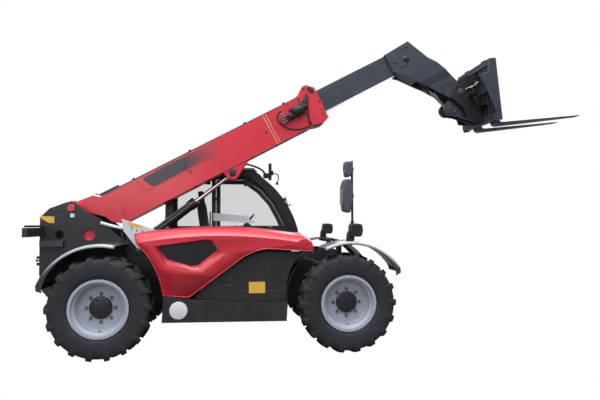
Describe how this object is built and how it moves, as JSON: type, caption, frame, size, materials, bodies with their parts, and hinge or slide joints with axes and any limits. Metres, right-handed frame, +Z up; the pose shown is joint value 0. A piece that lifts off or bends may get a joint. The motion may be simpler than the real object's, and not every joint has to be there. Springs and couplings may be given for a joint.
{
  "type": "telehandler",
  "caption": "Telescopic handler with a side engine pod, offset cab, four steered wheels, lifting and extending boom, and a tilting pallet-fork carriage.",
  "frame": {"origin": "on the ground, under the middle of the machine's box", "axes": "+X forward, +Y to the machine's left, +Z up"},
  "size_m": [7.459, 2.275, 4.115],
  "materials": {
    "red_paint": "gloss",
    "dark_paint": "satin",
    "rim_paint": "satin",
    "tyre_rubber": "matte",
    "rod_chrome": "polished",
    "window_glass": "clear",
    "grille_mesh": "matte",
    "seat_cover": "matte",
    "cab_plastic": "matte",
    "guard_plastic": "matte",
    "pale_panel": "satin",
    "engine_cast": "matte",
    "lamp_housing": "matte",
    "mirror_housing": "matte",
    "fork_steel": "satin"
  },
  "bodies": {
    "machine": {"cab_controls": "cab_plastic", "cab_frame": "dark_paint", "cab_glass": "window_glass", "cab_roof": "dark_paint", "chassis": "dark_paint", "engine_block": "engine_cast", "engine_cradle": "dark_paint", "front_axle": "dark_paint", "front_mudguards": "guard_plastic", "fuel_tank": "dark_paint", "head_lamps": "lamp_housing", "mirror": "mirror_housing", "rear_axle": "dark_paint", "rear_mudguards": "guard_plastic", "seat": "seat_cover", "side_cover": "pale_panel", "side_panel": "dark_paint", "side_skirt": "dark_paint", "tail_lamps": "lamp_housing", "tow_hitch": "dark_paint"},
    "front_left_knuckle": {"knuckle_front_left": "dark_paint"},
    "front_left_wheel": {"rim_front_left": "rim_paint", "tyre_front_left": "tyre_rubber"},
    "front_right_knuckle": {"knuckle_front_right": "dark_paint"},
    "front_right_wheel": {"rim_front_right": "rim_paint", "tyre_front_right": "tyre_rubber"},
    "rear_left_knuckle": {"knuckle_rear_left": "dark_paint"},
    "rear_left_wheel": {"rim_rear_left": "rim_paint", "tyre_rear_left": "tyre_rubber"},
    "rear_right_knuckle": {"knuckle_rear_right": "dark_paint"},
    "rear_right_wheel": {"rim_rear_right": "rim_paint", "tyre_rear_right": "tyre_rubber"},
    "boom": {"outer_boom": "red_paint", "boom_hose_block": "dark_paint"},
    "boom_extension": {"inner_boom": "dark_paint"},
    "lift_barrel": {"lift_cylinder_barrel": "dark_paint"},
    "lift_rod": {"lift_cylinder_rod": "rod_chrome"},
    "tilt_barrel": {"tilt_cylinder_barrel": "dark_paint"},
    "tilt_rod": {"tilt_cylinder_rod": "rod_chrome"},
    "fork_carriage": {"carriage": "dark_paint", "forks": "fork_steel"},
    "hood": {"engine_cowl": "red_paint", "cowl_window": "grille_mesh"},
    "door": {"cab_door": "dark_paint", "door_glass": "window_glass"}
  },
  "joints": [
    {"name": "front_left_steer", "type": "hinge", "parent": "machine", "child": "front_left_knuckle", "pos_m": [0.13, 0.825, 0.592], "axis": [0, 0, 1], "range_deg": [-35, 35]},
    {"name": "front_left_spin", "type": "hinge", "parent": "front_left_knuckle", "child": "front_left_wheel", "pos_m": [0.13, 0.935, 0.592], "axis": [0, 1, 0], "continuous": true},
    {"name": "front_right_steer", "type": "hinge", "parent": "machine", "child": "front_right_knuckle", "pos_m": [0.13, -0.825, 0.592], "axis": [0, 0, 1], "range_deg": [-35, 35]},
    {"name": "front_right_spin", "type": "hinge", "parent": "front_right_knuckle", "child": "front_right_wheel", "pos_m": [0.13, -0.935, 0.592], "axis": [0, 1, 0], "continuous": true},
    {"name": "rear_left_steer", "type": "hinge", "parent": "machine", "child": "rear_left_knuckle", "pos_m": [-2.72, 0.825, 0.592], "axis": [0, 0, 1], "range_deg": [-35, 35]},
    {"name": "rear_left_spin", "type": "hinge", "parent": "rear_left_knuckle", "child": "rear_left_wheel", "pos_m": [-2.72, 0.935, 0.592], "axis": [0, 1, 0], "continuous": true},
    {"name": "rear_right_steer", "type": "hinge", "parent": "machine", "child": "rear_right_knuckle", "pos_m": [-2.72, -0.825, 0.592], "axis": [0, 0, 1], "range_deg": [-35, 35]},
    {"name": "rear_right_spin", "type": "hinge", "parent": "rear_right_knuckle", "child": "rear_right_wheel", "pos_m": [-2.72, -0.935, 0.592], "axis": [0, 1, 0], "continuous": true},
    {"name": "boom_lift", "type": "hinge", "parent": "machine", "child": "boom", "pos_m": [-3.235, 0, 1.743], "axis": [0, -1, 0], "range_deg": [-29, 32]},
    {"name": "boom_extend", "type": "slide", "parent": "boom", "child": "boom_extension", "axis": [0.8829, 0, 0.4695], "range_m": [-0.95, 1.3]},
    {"name": "carriage_tilt", "type": "hinge", "parent": "boom_extension", "child": "fork_carriage", "pos_m": [2.00004, 0, 3.39961], "axis": [0, -1, 0], "range_deg": [-70, 40]},
    {"name": "lift_cylinder_swing", "type": "hinge", "parent": "machine", "child": "lift_barrel", "pos_m": [-3.047, 0, 0.803], "axis": [0, -1, 0], "range_deg": [-23.5, 25.8]},
    {"name": "lift_cylinder_stroke", "type": "slide", "parent": "lift_barrel", "child": "lift_rod", "axis": [0.7874, 0, 0.6164], "range_m": [-0.455, 0.5]},
    {"name": "tilt_cylinder_swing", "type": "hinge", "parent": "boom_extension", "child": "tilt_barrel", "pos_m": [1.20027, 0, 3.86004], "axis": [0, -1, 0], "range_deg": [-1.8, 3]},
    {"name": "tilt_cylinder_stroke", "type": "slide", "parent": "tilt_barrel", "child": "tilt_rod", "axis": [0.704, 0, -0.7102], "range_m": [-0.25, 0.145]},
    {"name": "hood_hinge", "type": "hinge", "parent": "machine", "child": "hood", "pos_m": [-1.42, -0.43, 1.49], "axis": [-1, 0, 0], "range_deg": [0, 60]},
    {"name": "door_hinge", "type": "hinge", "parent": "machine", "child": "door", "pos_m": [-1.498, 1.116, 1.4], "axis": [0, 0, 1], "range_deg": [0, 85]}
  ],
  "couplings": [
    {"joint": "front_right_steer", "follows": "front_left_steer", "ratio": 1},
    {"joint": "rear_right_steer", "follows": "rear_left_steer", "ratio": 1},
    {"joint": "lift_cylinder_swing", "follows": "boom_lift", "ratio": 0.79},
    {"joint": "lift_cylinder_stroke", "follows": "boom_lift", "m_per_rad": 0.88},
    {"joint": "tilt_cylinder_swing", "follows": "carriage_tilt", "ratio": -0.04},
    {"joint": "tilt_cylinder_stroke", "follows": "carriage_tilt", "m_per_rad": 0.2}
  ]
}
